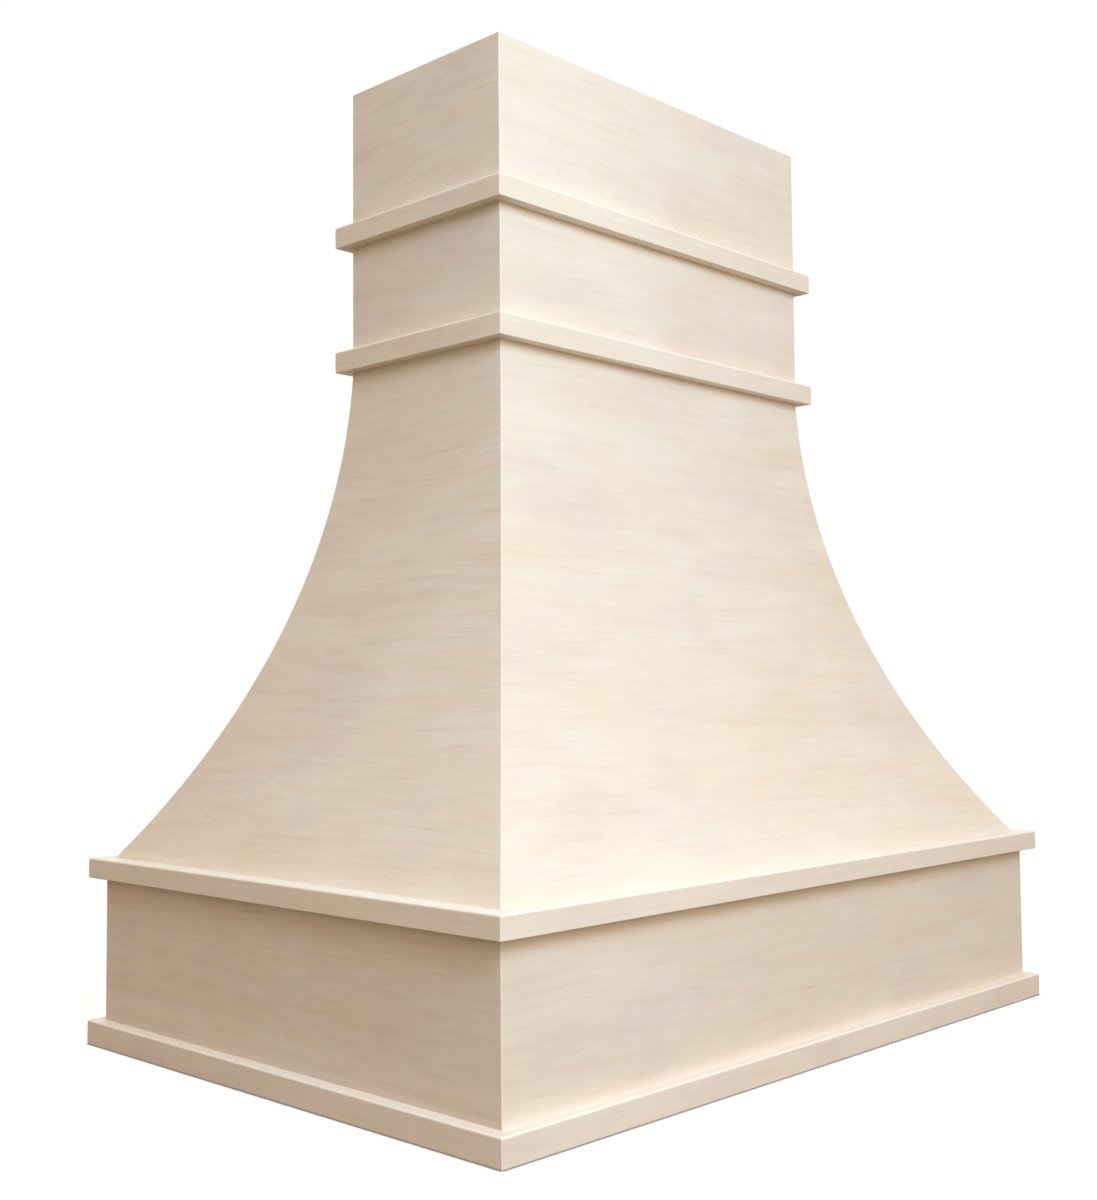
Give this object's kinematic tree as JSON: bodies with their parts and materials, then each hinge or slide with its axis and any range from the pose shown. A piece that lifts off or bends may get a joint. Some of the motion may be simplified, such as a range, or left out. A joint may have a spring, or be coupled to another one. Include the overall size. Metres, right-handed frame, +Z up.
{
  "type": "range hood cover",
  "caption": "Island range hood cover in pale maple: square chimney, concave flare and straight apron with mitred straps, over a frame of ribs and rails that carries a fan insert.",
  "frame": {"origin": "middle of the bottom opening, level with the apron's lower edge", "axes": "+Z up to the ceiling, -Y the long front face, +X to the right seen from the front"},
  "size_m": [1.257, 0.876, 1.43],
  "materials": {
    "maple_panel": "unfinished sanded maple, grain running level round the cover",
    "maple_strap": "unfinished solid maple with eased edges",
    "frame_plywood": "raw birch plywood and softwood, sawn",
    "bracket_steel": "zinc plated sheet steel"
  },
  "bodies": {
    "root": {"apron_board_back": "maple_panel", "apron_board_front": "maple_panel", "apron_board_left": "maple_panel", "apron_board_right": "maple_panel", "base_strap_back": "maple_strap", "base_strap_front": "maple_strap", "base_strap_left": "maple_strap", "base_strap_right": "maple_strap", "ceiling_rail_back": "frame_plywood", "ceiling_rail_front": "frame_plywood", "ceiling_rail_left": "frame_plywood", "ceiling_rail_right": "frame_plywood", "chimney_board_back": "maple_panel", "chimney_board_front": "maple_panel", "chimney_board_left": "maple_panel", "chimney_board_right": "maple_panel", "corner_post_back_left": "frame_plywood", "corner_post_back_right": "frame_plywood", "corner_post_front_left": "frame_plywood", "corner_post_front_right": "frame_plywood", "deck_back": "frame_plywood", "deck_front": "frame_plywood", "deck_left": "frame_plywood", "deck_right": "frame_plywood", "flare_panel_back": "maple_panel", "flare_panel_front": "maple_panel", "flare_panel_left": "maple_panel", "flare_panel_right": "maple_panel", "flare_rib_back_1": "frame_plywood", "flare_rib_back_2": "frame_plywood", "flare_rib_back_3": "frame_plywood", "flare_rib_front_1": "frame_plywood", "flare_rib_front_2": "frame_plywood", "flare_rib_front_3": "frame_plywood", "flare_rib_left_1": "frame_plywood", "flare_rib_left_2": "frame_plywood", "flare_rib_right_1": "frame_plywood", "flare_rib_right_2": "frame_plywood", "insert_bracket_back_left": "bracket_steel", "insert_bracket_back_right": "bracket_steel", "insert_bracket_front_left": "bracket_steel", "insert_bracket_front_right": "bracket_steel", "insert_rail_back": "frame_plywood", "insert_rail_front": "frame_plywood", "ledge_strap_back": "maple_strap", "ledge_strap_front": "maple_strap", "ledge_strap_left": "maple_strap", "ledge_strap_right": "maple_strap", "upper_strap_back": "maple_strap", "upper_strap_front": "maple_strap", "upper_strap_left": "maple_strap", "upper_strap_right": "maple_strap", "waist_rail_back": "frame_plywood", "waist_rail_front": "frame_plywood", "waist_rail_left": "frame_plywood", "waist_rail_right": "frame_plywood", "waist_strap_back": "maple_strap", "waist_strap_front": "maple_strap", "waist_strap_left": "maple_strap", "waist_strap_right": "maple_strap"}
  },
  "joints": []
}
